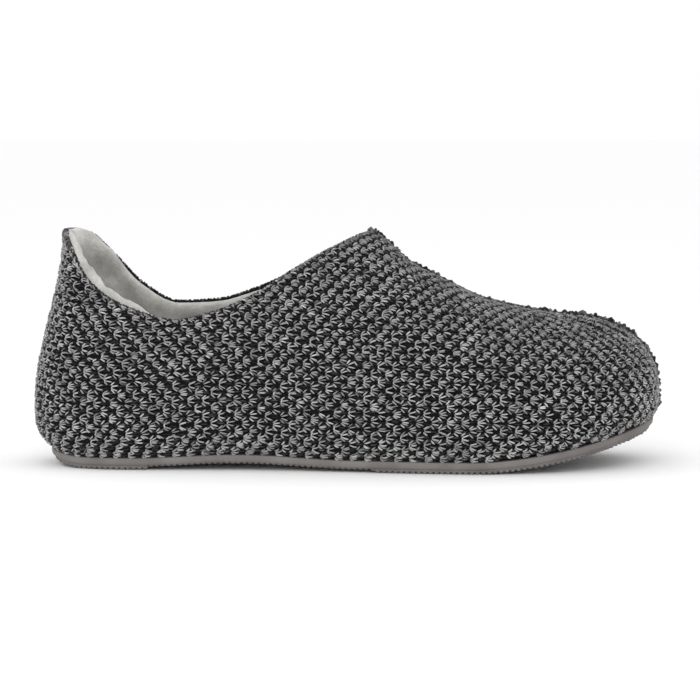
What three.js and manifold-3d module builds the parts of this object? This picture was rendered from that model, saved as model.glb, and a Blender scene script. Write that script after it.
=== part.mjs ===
// A knitted house slipper for the right foot, in millimetres, standing on its sole.
// +X points to the toe, +Y to the inner (medial) side of the foot, +Z up.
// Four pieces: a moulded outsole with two tread pads, a footbed, a hollow knitted upper that is
// open at the collar and underneath, and the raised whip-stitched seam down the middle of the vamp.
import * as THREE from "three";
import Module from "manifold-3d";

// Overall sizes of the upper.
const LENGTH = 266;
const HEEL_HEIGHT = 98.5;
const COLLAR_HEIGHT = 60.5;
const INSTEP_HEIGHT = 98;
const TOE_BOX_HEIGHT = 62.6;
const WALL = 3;
const FULLNESS = 2.15;
const UNDERCUT_POWER = 4;

// The sole's outline, and how far the upper swells over it.
const SOLE_WIDTH = 94;
const TOE_INFLARE = 6;
const HEEL_OVERHANG = 7.6;
const SIDE_OVERHANG = 4.8;
const TOE_OVERHANG = 2.4;
const SOLE_LENGTH = LENGTH - HEEL_OVERHANG - TOE_OVERHANG;

// The outsole: a plate with a tread pad under the heel and one under the forefoot.
const PLATE_THICKNESS = 3.2;
const TREAD_THICKNESS = 1.6;
const ARCH_RISE = 1.7;
const TOE_SPRING = 15;
const HEEL_SPRING = 2.6;
const SOLE_LIP = 0.6;
const PLATE_EDGE_DRAFT = 1.1;
const PAD_INSET = 1.9;
const PAD_DRAFT = 0.6;

// The footbed and the seam.
const FOOTBED_THICKNESS = 5;
const UPPER_FOOT = 4;
const SEAM_WIDTH = 4.4;
const SEAM_HEIGHT = 1.7;
const SEAM_START_SHARE = 0.008;
const SEAM_STOP_SHARE = 0.02;
const RIM_ROUND = 0.9;

// Neighbours that touch in the real slipper stand this far apart.
const CLEARANCE = 0.3;

// Where the throat is and how far the heel's and the toe's swell reach, in the table's first column.
const THROAT_SHARE = 0.55;
const HEEL_SWELL_SHARE = 0.28;
const TOE_SWELL_SHARE = 0.3;

// Where things happen along the sole, as shares of its length from heel (0) to toe (1).
const BEND_FROM_SHARE = 0.4;
const HEEL_SPRING_TO_SHARE = 0.06;
const ARCH_FROM_SHARE = 0.13;
const ARCH_TO_SHARE = 0.5;
const SPRING_FROM_SHARE = 0.69;
const SPRING_POWER = 1.7;
const HEEL_PAD_TO_SHARE = 0.165;
const FOREFOOT_PAD_FROM_SHARE = 0.53;
const FOREFOOT_PAD_TO_SHARE = 0.99;

// One row for each section, from the heel seam to the toe seam. Shares:
//   at           place along the sole, 0 to 1, close together at the two round ends
//   outer, inner half-widths of the sole, of SOLE_WIDTH, each side of the middle line
//   bulge        height of the widest place above the sole, of the instep height
//   top          how far along the shoe the top of the section is, of LENGTH
//   rimOuter, rimInner   half-widths of the collar, of SOLE_WIDTH
//   low, high    the two heights that upOuter and upInner go between, from 0 to 1
//   lean         how fast the wall leans in at its top; 0 is upright
//   dome         how much the section rounds over to the middle; 0 is a wall, 1 a dome
const SECTIONS = [
  { at: 0.0, outer: 0.0, inner: 0.0, bulge: 0.19, top: 0.046, rimOuter: 0.0, rimInner: 0.0,
    low: COLLAR_HEIGHT, high: HEEL_HEIGHT, upOuter: 1.0, upInner: 1.0, lean: 0.0, dome: 0.0 },
  { at: 0.05, outer: 0.118, inner: 0.118, bulge: 0.19, top: 0.051, rimOuter: 0.07, rimInner: 0.075,
    low: COLLAR_HEIGHT, high: HEEL_HEIGHT, upOuter: 0.92, upInner: 1.0, lean: 0.1, dome: 0.0 },
  { at: 0.1, outer: 0.209, inner: 0.209, bulge: 0.19, top: 0.062, rimOuter: 0.137, rimInner: 0.143,
    low: COLLAR_HEIGHT, high: HEEL_HEIGHT, upOuter: 0.8, upInner: 0.993, lean: 0.4, dome: 0.0 },
  { at: 0.15, outer: 0.268, inner: 0.268, bulge: 0.19, top: 0.085, rimOuter: 0.19, rimInner: 0.196,
    low: COLLAR_HEIGHT, high: HEEL_HEIGHT, upOuter: 0.52, upInner: 0.945, lean: 0.8, dome: 0.0 },
  { at: 0.2, outer: 0.304, inner: 0.303, bulge: 0.19, top: 0.122, rimOuter: 0.228, rimInner: 0.234,
    low: COLLAR_HEIGHT, high: HEEL_HEIGHT, upOuter: 0.285, upInner: 0.71, lean: 1.2, dome: 0.0 },
  { at: 0.25, outer: 0.32, inner: 0.314, bulge: 0.19, top: 0.17, rimOuter: 0.252, rimInner: 0.255,
    low: COLLAR_HEIGHT, high: HEEL_HEIGHT, upOuter: 0.134, upInner: 0.368, lean: 1.5, dome: 0.0 },
  { at: 0.3, outer: 0.325, inner: 0.304, bulge: 0.19, top: 0.227, rimOuter: 0.263, rimInner: 0.262,
    low: COLLAR_HEIGHT, high: HEEL_HEIGHT, upOuter: 0.034, upInner: 0.168, lean: 1.7, dome: 0.0 },
  { at: 0.35, outer: 0.33, inner: 0.284, bulge: 0.19, top: 0.291, rimOuter: 0.257, rimInner: 0.25,
    low: COLLAR_HEIGHT, high: INSTEP_HEIGHT, upOuter: 0.13, upInner: 0.197, lean: 1.8, dome: 0.02 },
  { at: 0.4, outer: 0.345, inner: 0.272, bulge: 0.2, top: 0.355, rimOuter: 0.232, rimInner: 0.222,
    low: COLLAR_HEIGHT, high: INSTEP_HEIGHT, upOuter: 0.325, upInner: 0.336, lean: 1.9, dome: 0.08 },
  { at: 0.45, outer: 0.373, inner: 0.287, bulge: 0.21, top: 0.418, rimOuter: 0.185, rimInner: 0.175,
    low: COLLAR_HEIGHT, high: INSTEP_HEIGHT, upOuter: 0.61, upInner: 0.545, lean: 2.0, dome: 0.22 },
  { at: 0.5, outer: 0.415, inner: 0.33, bulge: 0.21, top: 0.48, rimOuter: 0.112, rimInner: 0.105,
    low: COLLAR_HEIGHT, high: INSTEP_HEIGHT, upOuter: 0.848, upInner: 0.78, lean: 2.0, dome: 0.42 },
  { at: THROAT_SHARE, outer: 0.463, inner: 0.388, bulge: 0.2, top: 0.538, rimOuter: 0.0, rimInner: 0.0,
    low: TOE_BOX_HEIGHT, high: INSTEP_HEIGHT, upOuter: 1.0, upInner: 1.0, lean: 2.0, dome: 0.6 },
  { at: 0.6, outer: 0.5, inner: 0.442, bulge: 0.19, top: 0.592, rimOuter: 0.0, rimInner: 0.0,
    low: TOE_BOX_HEIGHT, high: INSTEP_HEIGHT, upOuter: 0.67, upInner: 0.67, lean: 2.0, dome: 0.72 },
  { at: 0.65, outer: 0.521, inner: 0.479, bulge: 0.18, top: 0.645, rimOuter: 0.0, rimInner: 0.0,
    low: TOE_BOX_HEIGHT, high: INSTEP_HEIGHT, upOuter: 0.446, upInner: 0.446, lean: 2.0, dome: 0.82 },
  { at: 0.7, outer: 0.511, inner: 0.484, bulge: 0.17, top: 0.695, rimOuter: 0.0, rimInner: 0.0,
    low: TOE_BOX_HEIGHT, high: INSTEP_HEIGHT, upOuter: 0.24, upInner: 0.24, lean: 2.0, dome: 0.9 },
  { at: 0.76, outer: 0.47, inner: 0.456, bulge: 0.155, top: 0.747, rimOuter: 0.0, rimInner: 0.0,
    low: TOE_BOX_HEIGHT, high: INSTEP_HEIGHT, upOuter: 0.127, upInner: 0.127, lean: 2.0, dome: 0.96 },
  { at: 0.82, outer: 0.388, inner: 0.388, bulge: 0.14, top: 0.79, rimOuter: 0.0, rimInner: 0.0,
    low: TOE_BOX_HEIGHT, high: INSTEP_HEIGHT, upOuter: 0.059, upInner: 0.059, lean: 2.0, dome: 1.0 },
  { at: 0.88, outer: 0.283, inner: 0.288, bulge: 0.125, top: 0.822, rimOuter: 0.0, rimInner: 0.0,
    low: TOE_BOX_HEIGHT, high: INSTEP_HEIGHT, upOuter: 0.023, upInner: 0.023, lean: 2.0, dome: 1.0 },
  { at: 0.94, outer: 0.15, inner: 0.154, bulge: 0.115, top: 0.843, rimOuter: 0.0, rimInner: 0.0,
    low: TOE_BOX_HEIGHT, high: INSTEP_HEIGHT, upOuter: 0.006, upInner: 0.006, lean: 2.0, dome: 1.0 },
  { at: 1.0, outer: 0.0, inner: 0.0, bulge: 0.11, top: 0.85, rimOuter: 0.0, rimInner: 0.0,
    low: TOE_BOX_HEIGHT, high: INSTEP_HEIGHT, upOuter: 0.0, upInner: 0.0, lean: 2.0, dome: 1.0 },
];

const OUTER_SIDE = -1;
const INNER_SIDE = 1;

// A smooth curve through one value a row. It turns level where the rows pass a high or a low, so
// it never swings past them.
function column(value, rows = SECTIONS) {
  const x = rows.map((row) => row.at);
  const y = rows.map(value);
  const last = x.length - 1;
  const rise = x.slice(1).map((right, i) => (y[i + 1] - y[i]) / (right - x[i]));
  const slope = y.map((_, i) => {
    if (i === 0) return rise[0];
    if (i === last) return rise[last - 1];
    const [a, b] = [rise[i - 1], rise[i]];
    return a * b > 0 ? (2 * a * b) / (a + b) : 0;
  });
  return (at) => {
    let i = 0;
    while (i < last - 1 && at > x[i + 1]) i += 1;
    const h = x[i + 1] - x[i];
    const t = (at - x[i]) / h;
    return (
      (1 + 2 * t) * (1 - t) ** 2 * y[i] +
      t * (1 - t) ** 2 * h * slope[i] +
      t ** 2 * (3 - 2 * t) * y[i + 1] +
      t ** 2 * (t - 1) * h * slope[i + 1]
    );
  };
}

// Half the width of the collar on one side. The two sides meet at the throat.
function collar(value) {
  const open = column(value, SECTIONS.filter((row) => row.at <= THROAT_SHARE));
  return (at) => (at < THROAT_SHARE ? open(at) : 0);
}

const soleHalf = {
  [OUTER_SIDE]: column((row) => row.outer * SOLE_WIDTH),
  [INNER_SIDE]: column((row) => row.inner * SOLE_WIDTH),
};
const rimHalf = {
  [OUTER_SIDE]: collar((row) => row.rimOuter * SOLE_WIDTH),
  [INNER_SIDE]: collar((row) => row.rimInner * SOLE_WIDTH),
};
const topHeight = {
  [OUTER_SIDE]: column((row) => row.low + (row.high - row.low) * row.upOuter),
  [INNER_SIDE]: column((row) => row.low + (row.high - row.low) * row.upInner),
};
const bulgeHeight = column((row) => row.bulge * INSTEP_HEIGHT);
const topPlace = column((row) => row.top * LENGTH);
const leanAt = column((row) => row.lean);
const domeAt = column((row) => row.dome);

// The middle line of the shoe seen from above: straight at the heel, turned in towards the toe.
function middle(x) {
  const bend = Math.max(0, x / LENGTH - BEND_FROM_SHARE) / (1 - BEND_FROM_SHARE);
  return TOE_INFLARE * bend ** 2;
}

// Height of the plate's underside. It rests on the pads, rises in the arch, and springs up to the
// toe and a little at the heel.
function plateUnder(x) {
  const share = THREE.MathUtils.clamp((x - HEEL_OVERHANG) / SOLE_LENGTH, 0, 1);
  const waist = (share - ARCH_FROM_SHARE) / (ARCH_TO_SHARE - ARCH_FROM_SHARE);
  const arch = THREE.MathUtils.clamp(waist, 0, 1);
  const toe = Math.max(0, share - SPRING_FROM_SHARE) / (1 - SPRING_FROM_SHARE);
  const heel = Math.max(0, HEEL_SPRING_TO_SHARE - share) / HEEL_SPRING_TO_SHARE;
  return (
    TREAD_THICKNESS +
    ARCH_RISE * Math.sin(Math.PI * arch) ** 2 +
    TOE_SPRING * toe ** SPRING_POWER +
    HEEL_SPRING * heel ** 2
  );
}

// A point of the line where the upper meets the sole, moved out by some millimetres.
function soleEdge(at, side, out = 0) {
  const place = (share) => {
    const x = HEEL_OVERHANG + (SOLE_LENGTH * (1 - Math.cos(Math.PI * share))) / 2;
    return new THREE.Vector2(x, middle(x) + side * soleHalf[side](share));
  };
  const step = 1e-4;
  const here = place(at);
  const along = place(Math.min(at + step, 1)).sub(place(Math.max(at - step, 0)));
  const outward = new THREE.Vector2(along.y * side, -along.x * side).normalize().negate();
  if (at === 0) outward.set(-1, 0);
  if (at === 1) outward.set(1, 0);
  const moved = here.clone().addScaledVector(outward, out);
  return { x: moved.x, y: moved.y, z: plateUnder(here.x) + PLATE_THICKNESS };
}

// How far the upper's widest place stands out over the sole's edge.
function overhang(at) {
  const heel = Math.max(0, 1 - at / HEEL_SWELL_SHARE) ** 2;
  const toe = Math.max(0, 1 - (1 - at) / TOE_SWELL_SHARE) ** 2;
  return SIDE_OVERHANG + (HEEL_OVERHANG - SIDE_OVERHANG) * heel + (TOE_OVERHANG - SIDE_OVERHANG) * toe;
}

// How far in from the widest place to the top the wall has come, at a share of the height.
function inward(share, lean, dome) {
  const wall = share ** 2 * (3 - 2 * share) + lean * share ** 2 * (share - 1);
  const round = 1 - (1 - share ** FULLNESS) ** (1 / FULLNESS);
  return wall * (1 - dome) + round * dome;
}

const FINE_STEPS = 60;

// The outer skin of the upper at one place along the sole, from the sole's edge to its top,
// as a function of the share of its length.
function section(at, side) {
  const foot = soleEdge(at, side);
  const out = overhang(at);
  const wide = soleEdge(at, side, out);
  const rise = bulgeHeight(at);
  const base = foot.z + CLEARANCE + rise;
  const x = topPlace(at);
  const y = middle(x) + side * rimHalf[side](at);
  const height = topHeight[side](at);
  const points = [];
  for (let i = 0; i <= FINE_STEPS; i += 1) {
    const g = i / FINE_STEPS;
    const swell = out * (1 - (1 - g) ** UNDERCUT_POWER);
    const edge = soleEdge(at, side, swell);
    points.push(new THREE.Vector3(edge.x, edge.y, base - rise * (1 - g)));
  }
  for (let i = 1; i <= FINE_STEPS; i += 1) {
    const g = Math.sin(((i / FINE_STEPS) * Math.PI) / 2);
    const f = inward(g, leanAt(at), domeAt(at));
    const z = base + (height - base) * g;
    points.push(new THREE.Vector3(wide.x + (x - wide.x) * f, wide.y + (y - wide.y) * f, z));
  }
  const run = [0];
  points.forEach((p, i) => i && run.push(run[i - 1] + p.distanceTo(points[i - 1])));
  const whole = run[run.length - 1];
  return (share) => {
    const want = share * whole;
    let i = 1;
    while (i < run.length - 1 && run[i] < want) i += 1;
    const t = (want - run[i - 1]) / (run[i] - run[i - 1]);
    return points[i - 1].clone().lerp(points[i], t);
  };
}

// The skin as one loop round the shoe: from -1 (toe) along the outer side to 0 (heel) and along
// the inner side to 1 (toe again).
const known = new Map();
function skin(round, share) {
  let w = round;
  if (w > 1) w -= 2;
  if (w < -1) w += 2;
  const key = w.toFixed(7);
  if (!known.has(key)) known.set(key, section(Math.abs(w), w < 0 ? OUTER_SIDE : INNER_SIDE));
  return known.get(key)(share);
}

// The outward normal of the skin. On the vamp's middle line both sides share one normal.
function skinNormal(round, share) {
  const du = 2e-3;
  const dv = 4e-3;
  const one = (w) => {
    const along = skin(w + du, share).sub(skin(w - du, share));
    const up = skin(w, Math.min(share + dv, 1)).sub(skin(w, Math.max(share - dv, 0)));
    return along.cross(up).normalize().negate();
  };
  const normal = one(round);
  if (share === 1 && Math.abs(round) >= THROAT_SHARE) {
    const nearly = Math.abs(round) === 1 ? 1 - du : Math.abs(round);
    normal.copy(one(nearly)).add(one(-nearly));
  }
  return normal.normalize();
}

// A geometry from triangles of points. Points closer than a thousandth are one, and faces that
// have collapsed to a line are dropped.
function closed(triangles) {
  const ids = new Map();
  const position = [];
  const index = [];
  const id = (p) => {
    const key = [p.x, p.y, p.z].map((v) => Math.round(v * 1000)).join();
    if (!ids.has(key)) {
      ids.set(key, position.length / 3);
      position.push(p.x, p.y, p.z);
    }
    return ids.get(key);
  };
  for (const triangle of triangles) {
    const [a, b, c] = triangle.map(id);
    if (a !== b && b !== c && c !== a) index.push(a, b, c);
  }
  const geometry = new THREE.BufferGeometry();
  geometry.setAttribute("position", new THREE.Float32BufferAttribute(position, 3));
  geometry.setIndex(index);
  return geometry;
}

// Two triangles for each cell between rows of points, turned round if asked.
function sheet(rows, flip = false) {
  const triangles = [];
  for (let i = 1; i < rows.length; i += 1) {
    for (let j = 1; j < rows[i].length; j += 1) {
      const [a, b, c, d] = [rows[i - 1][j - 1], rows[i][j - 1], rows[i][j], rows[i - 1][j]];
      triangles.push(flip ? [a, c, b] : [a, b, c], flip ? [a, d, c] : [a, c, d]);
    }
  }
  return triangles;
}

// A solid through rings of points. A ring that isn't a line is closed by a fan.
function loft(rings) {
  const triangles = sheet(rings.map((ring) => [...ring, ring[0]]));
  const fan = (ring, flip) => {
    for (let j = 2; j < ring.length; j += 1) {
      triangles.push(flip ? [ring[0], ring[j], ring[j - 1]] : [ring[0], ring[j - 1], ring[j]]);
    }
  };
  const flat = (ring) => new THREE.Triangle(ring[0], ring[1], ring[ring.length - 1]).getArea() < 1e-3;
  if (!flat(rings[0])) fan(rings[0], false);
  if (!flat(rings[rings.length - 1])) fan(rings[rings.length - 1], true);
  return triangles;
}

const wasm = await Module();
wasm.setup();

// A solid from triangles. They are turned round where they face inwards.
function solid(triangles) {
  const make = (faces) => {
    const geometry = closed(faces);
    return new wasm.Manifold(
      new wasm.Mesh({
        numProp: 3,
        vertProperties: geometry.attributes.position.array,
        triVerts: new Uint32Array(geometry.index.array),
      }),
    );
  };
  const made = make(triangles);
  return made.volume() > 0 ? made : make(triangles.map(([a, b, c]) => [a, c, b]));
}

function geometryOf(manifold) {
  const mesh = manifold.getMesh();
  const geometry = new THREE.BufferGeometry();
  geometry.setAttribute("position", new THREE.BufferAttribute(mesh.vertProperties, 3));
  geometry.setIndex(new THREE.BufferAttribute(mesh.triVerts, 1));
  geometry.computeVertexNormals();
  return geometry;
}

function spread(from, to, count) {
  return Array.from({ length: count + 1 }, (_, i) => from + ((to - from) * i) / count);
}

// The outsole's plate and its pads. The shares are heights, of each one's own thickness.
const SOLE_STATIONS = 56;
const HEEL_PAD_STATIONS = 18;
const FOREFOOT_PAD_STATIONS = 26;
const PLATE_SHOULDER_SHARE = 0.45;
const PAD_SUNK_SHARE = 0.3;
const PAD_SHOULDER_SHARE = 0.6;

function plateRing(at) {
  const half = (side) => {
    const top = soleEdge(at, side, SOLE_LIP);
    const foot = soleEdge(at, side, SOLE_LIP - PLATE_EDGE_DRAFT);
    const low = top.z - PLATE_THICKNESS;
    return [
      new THREE.Vector3(top.x, top.y, top.z),
      new THREE.Vector3(top.x, top.y, low + PLATE_THICKNESS * PLATE_SHOULDER_SHARE),
      new THREE.Vector3(foot.x, foot.y, low),
    ];
  };
  return [...half(OUTER_SIDE), ...half(INNER_SIDE).reverse()];
}

function padRing(at) {
  const sunk = PLATE_THICKNESS * PAD_SUNK_SHARE;
  const half = (side) => {
    const high = soleEdge(at, side, -PAD_INSET);
    const low = soleEdge(at, side, -PAD_INSET - PAD_DRAFT);
    const under = high.z - PLATE_THICKNESS;
    return [
      new THREE.Vector3(high.x, high.y, under + sunk),
      new THREE.Vector3(high.x, high.y, under - TREAD_THICKNESS * PAD_SHOULDER_SHARE),
      new THREE.Vector3(low.x, low.y, under - TREAD_THICKNESS),
    ];
  };
  return [...half(OUTER_SIDE), ...half(INNER_SIDE).reverse()];
}

function outsole() {
  const at = (share) => Math.acos(1 - 2 * share) / Math.PI;
  const plate = solid(loft(spread(0, 1, SOLE_STATIONS).map(plateRing)));
  const heel = solid(loft(spread(0, at(HEEL_PAD_TO_SHARE), HEEL_PAD_STATIONS).map(padRing)));
  const forefoot = spread(at(FOREFOOT_PAD_FROM_SHARE), at(FOREFOOT_PAD_TO_SHARE), FOREFOOT_PAD_STATIONS);
  return geometryOf(plate.add(heel).add(solid(loft(forefoot.map(padRing)))));
}

// The upper: the skin, its lining side a wall further in, the rim of the collar and the foot
// that stands on the sole.
const HEEL_STATIONS = 30;
const VAMP_STATIONS = 22;
const ROWS = 16;

function upper() {
  const collarStations = spread(0, THROAT_SHARE, HEEL_STATIONS);
  const stations = [...collarStations, ...spread(THROAT_SHARE, 1, VAMP_STATIONS).slice(1)];
  const shares = spread(0, 1, ROWS);
  const triangles = [];
  for (const side of [OUTER_SIDE, INNER_SIDE]) {
    const skins = [];
    const linings = [];
    for (const at of stations) {
      const normals = shares.map((share) => skinNormal(at * side, share));
      const outside = shares.map((share) => skin(at * side, share));
      const inside = outside.map((p, j) => p.clone().addScaledVector(normals[j], -WALL));
      const foot = soleEdge(at, side, -UPPER_FOOT);
      inside[0].set(foot.x, foot.y, outside[0].z);
      if (at < THROAT_SHARE) {
        outside[ROWS].addScaledVector(normals[ROWS], -RIM_ROUND);
        inside[ROWS].addScaledVector(normals[ROWS], RIM_ROUND);
      }
      skins.push(outside);
      linings.push(inside);
    }
    const flip = side === OUTER_SIDE;
    triangles.push(...sheet(skins, flip), ...sheet(linings, !flip));
    const foot = stations.map((_, i) => [linings[i][0], skins[i][0]]);
    const rim = stations.map((_, i) => [skins[i][ROWS], linings[i][ROWS]]).slice(0, HEEL_STATIONS + 1);
    triangles.push(...sheet(foot, flip), ...sheet(rim, flip));
  }
  return geometryOf(solid(triangles));
}

// The footbed fills the inside up to its thickness, clear of the upper all round. Its side leans out
// as the upper's does, and its top edge is rounded.
const FOOTBED_STATIONS = 44;
const FOOTBED_SPREAD = 0.9;
const FOOTBED_ROUND = 1.5;

function footbed() {
  const half = (at, side) => {
    const low = soleEdge(at, side, -UPPER_FOOT - CLEARANCE);
    const high = soleEdge(at, side, -UPPER_FOOT - CLEARANCE + FOOTBED_SPREAD);
    const soft = soleEdge(at, side, -UPPER_FOOT - CLEARANCE - FOOTBED_ROUND);
    const under = low.z + CLEARANCE;
    return [
      new THREE.Vector3(soft.x, soft.y, under + FOOTBED_THICKNESS),
      new THREE.Vector3(high.x, high.y, under + FOOTBED_THICKNESS - FOOTBED_ROUND),
      new THREE.Vector3(low.x, low.y, under),
    ];
  };
  const ring = (at) => [...half(at, OUTER_SIDE), ...half(at, INNER_SIDE).reverse()];
  return geometryOf(solid(loft(spread(0, 1, FOOTBED_STATIONS).map(ring))));
}

// The raised seam follows the middle of the vamp from the throat over the toe to the sole.
// The shares are of its own width and height.
const SEAM_SHOULDER_SHARE = 0.6;
const SEAM_CROWN_SHARE = 0.5;

function vampSeam() {
  const path = [
    [THROAT_SHARE + SEAM_START_SHARE, 1],
    ...spread(THROAT_SHARE, 1, VAMP_STATIONS).slice(1).map((at) => [at, 1]),
    ...spread(1, 1 / ROWS, ROWS - 1).slice(1).map((share) => [1, share]),
    [1, SEAM_STOP_SHARE],
  ];
  const rings = path.map(([at, share], i) => {
    const here = skin(at, share);
    const out = skinNormal(at, share);
    const next = path[Math.min(i + 1, path.length - 1)];
    const before = path[Math.max(i - 1, 0)];
    const along = skin(...next).sub(skin(...before)).normalize();
    const across = along.clone().cross(out).normalize();
    const corner = (share, lift) =>
      here.clone().addScaledVector(across, share * SEAM_WIDTH).addScaledVector(out, lift);
    const base = 2 * CLEARANCE;
    const crown = CLEARANCE + SEAM_HEIGHT;
    const shoulder = base + (crown - base) * SEAM_SHOULDER_SHARE;
    return [
      corner(-0.5, base),
      corner(0.5, base),
      corner(0.5, shoulder),
      corner(0.5 * SEAM_CROWN_SHARE, crown),
      corner(-0.5 * SEAM_CROWN_SHARE, crown),
      corner(-0.5, shoulder),
    ];
  });
  return geometryOf(solid(loft(rings)));
}

const knit = new THREE.MeshStandardMaterial({ color: 0x5b5b5b, roughness: 0.95, metalness: 0 });
const seamYarn = new THREE.MeshStandardMaterial({ color: 0x4a4a4a, roughness: 0.95, metalness: 0 });
const rubber = new THREE.MeshStandardMaterial({ color: 0x85807d, roughness: 0.65, metalness: 0 });
const fleece = new THREE.MeshStandardMaterial({ color: 0xd2d0cc, roughness: 1, metalness: 0 });

function piece(name, geometry, material) {
  const mesh = new THREE.Mesh(geometry, material);
  mesh.name = name;
  return mesh;
}

const slipper = new THREE.Group();
slipper.add(piece("outsole", outsole(), rubber));
slipper.add(piece("footbed", footbed(), fleece));
slipper.add(piece("upper", upper(), knit));
slipper.add(piece("vamp_seam", vampSeam(), seamYarn));

// The origin is on the floor under the middle of the slipper.
const box = new THREE.Box3().setFromObject(slipper);
slipper.position.set(-(box.min.x + box.max.x) / 2, -(box.min.y + box.max.y) / 2, -box.min.z);

export default slipper;
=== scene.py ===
"""A grey melange house slipper for the right foot: chunky knitted upper, fleece inside, rubber sole."""
import math

import bpy
import numpy as np
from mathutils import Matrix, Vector


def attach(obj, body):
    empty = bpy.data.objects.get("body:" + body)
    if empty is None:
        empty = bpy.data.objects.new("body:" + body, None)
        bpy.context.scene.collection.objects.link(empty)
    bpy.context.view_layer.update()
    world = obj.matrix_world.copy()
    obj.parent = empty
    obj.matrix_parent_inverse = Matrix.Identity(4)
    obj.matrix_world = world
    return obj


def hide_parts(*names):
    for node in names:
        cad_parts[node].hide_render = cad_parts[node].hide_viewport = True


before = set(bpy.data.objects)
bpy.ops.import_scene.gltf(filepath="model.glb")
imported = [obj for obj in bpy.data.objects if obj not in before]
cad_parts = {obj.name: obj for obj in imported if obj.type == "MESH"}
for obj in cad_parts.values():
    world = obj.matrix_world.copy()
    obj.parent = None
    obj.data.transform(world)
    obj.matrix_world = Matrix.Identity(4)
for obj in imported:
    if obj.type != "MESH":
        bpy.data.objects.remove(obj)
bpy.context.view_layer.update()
bpy.ops.object.select_all(action="DESELECT")
bpy.context.scene.view_settings.view_transform = "Standard"
rng = np.random.default_rng(11)

MM = 0.001
# The last is drawn in millimetres from the back of the heel. This moves it to the part's origin.
LAST_TO_ORIGIN = np.array([-134.000355, -0.472391, 0.0])

# Sizes of the last and the sole, in millimetres, as in the solids.
LENGTH = 266.0
HEEL_HEIGHT, COLLAR_HEIGHT, INSTEP_HEIGHT, TOE_BOX_HEIGHT = 98.5, 60.5, 98.0, 62.6
WALL, CLEARANCE = 3.0, 0.3
SOLE_WIDTH, TOE_INFLARE = 94.0, 6.0
HEEL_OVERHANG, SIDE_OVERHANG, TOE_OVERHANG = 7.6, 4.8, 2.4
SOLE_LENGTH = LENGTH - HEEL_OVERHANG - TOE_OVERHANG
PLATE_THICKNESS, TREAD_THICKNESS = 3.2, 1.6
ARCH_RISE, TOE_SPRING, HEEL_SPRING = 1.7, 15.0, 2.6

# Powers of the curves of the dome, the undercut at the sole and the toe's rise.
FULLNESS, UNDERCUT_POWER, SPRING_POWER = 2.15, 4, 1.7
# Places and runs along the shoe, as shares of its length: the throat, the inward bend at the toe, the
# arch, the rises at toe and heel, and how soon the overhangs of heel and toe fade into the sides'.
THROAT = 0.55
INFLARE_FROM, INFLARE_RUN = 0.4, 0.6
ARCH_FROM, ARCH_RUN = 0.13, 0.37
TOE_RISE_FROM, TOE_RISE_RUN, HEEL_RISE_RUN = 0.69, 0.31, 0.06
HEEL_FADE, TOE_FADE = 0.28, 0.3

# Sections of the last from the heel seam to the toe: place along the sole, half-widths of the sole
# (outer, inner), height of the widest place, place of the top, half-widths of the collar, the two
# heights the top goes between, its shares of them (outer, inner), lean and dome.
C, H, T, I = COLLAR_HEIGHT, HEEL_HEIGHT, TOE_BOX_HEIGHT, INSTEP_HEIGHT
SECTIONS = np.array([
    [0.00, 0.0, 0.0, 0.19, 0.046, 0.0, 0.0, C, H, 1.0, 1.0, 0.0, 0.0],
    [0.05, 0.118, 0.118, 0.19, 0.051, 0.07, 0.075, C, H, 0.92, 1.0, 0.1, 0.0],
    [0.10, 0.209, 0.209, 0.19, 0.062, 0.137, 0.143, C, H, 0.8, 0.993, 0.4, 0.0],
    [0.15, 0.268, 0.268, 0.19, 0.085, 0.19, 0.196, C, H, 0.52, 0.945, 0.8, 0.0],
    [0.20, 0.304, 0.303, 0.19, 0.122, 0.228, 0.234, C, H, 0.285, 0.71, 1.2, 0.0],
    [0.25, 0.32, 0.314, 0.19, 0.17, 0.252, 0.255, C, H, 0.134, 0.368, 1.5, 0.0],
    [0.30, 0.325, 0.304, 0.19, 0.227, 0.263, 0.262, C, H, 0.034, 0.168, 1.7, 0.0],
    [0.35, 0.33, 0.284, 0.19, 0.291, 0.257, 0.25, C, I, 0.13, 0.197, 1.8, 0.02],
    [0.40, 0.345, 0.272, 0.2, 0.355, 0.232, 0.222, C, I, 0.325, 0.336, 1.9, 0.08],
    [0.45, 0.373, 0.287, 0.21, 0.418, 0.185, 0.175, C, I, 0.61, 0.545, 2.0, 0.22],
    [0.50, 0.415, 0.33, 0.21, 0.48, 0.112, 0.105, C, I, 0.848, 0.78, 2.0, 0.42],
    [0.55, 0.463, 0.388, 0.2, 0.538, 0.0, 0.0, T, I, 1.0, 1.0, 2.0, 0.6],
    [0.60, 0.5, 0.442, 0.19, 0.592, 0.0, 0.0, T, I, 0.67, 0.67, 2.0, 0.72],
    [0.65, 0.521, 0.479, 0.18, 0.645, 0.0, 0.0, T, I, 0.446, 0.446, 2.0, 0.82],
    [0.70, 0.511, 0.484, 0.17, 0.695, 0.0, 0.0, T, I, 0.24, 0.24, 2.0, 0.9],
    [0.76, 0.47, 0.456, 0.155, 0.747, 0.0, 0.0, T, I, 0.127, 0.127, 2.0, 0.96],
    [0.82, 0.388, 0.388, 0.14, 0.79, 0.0, 0.0, T, I, 0.059, 0.059, 2.0, 1.0],
    [0.88, 0.283, 0.288, 0.125, 0.822, 0.0, 0.0, T, I, 0.023, 0.023, 2.0, 1.0],
    [0.94, 0.15, 0.154, 0.115, 0.843, 0.0, 0.0, T, I, 0.006, 0.006, 2.0, 1.0],
    [1.00, 0.0, 0.0, 0.11, 0.85, 0.0, 0.0, T, I, 0.0, 0.0, 2.0, 1.0],
])


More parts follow.
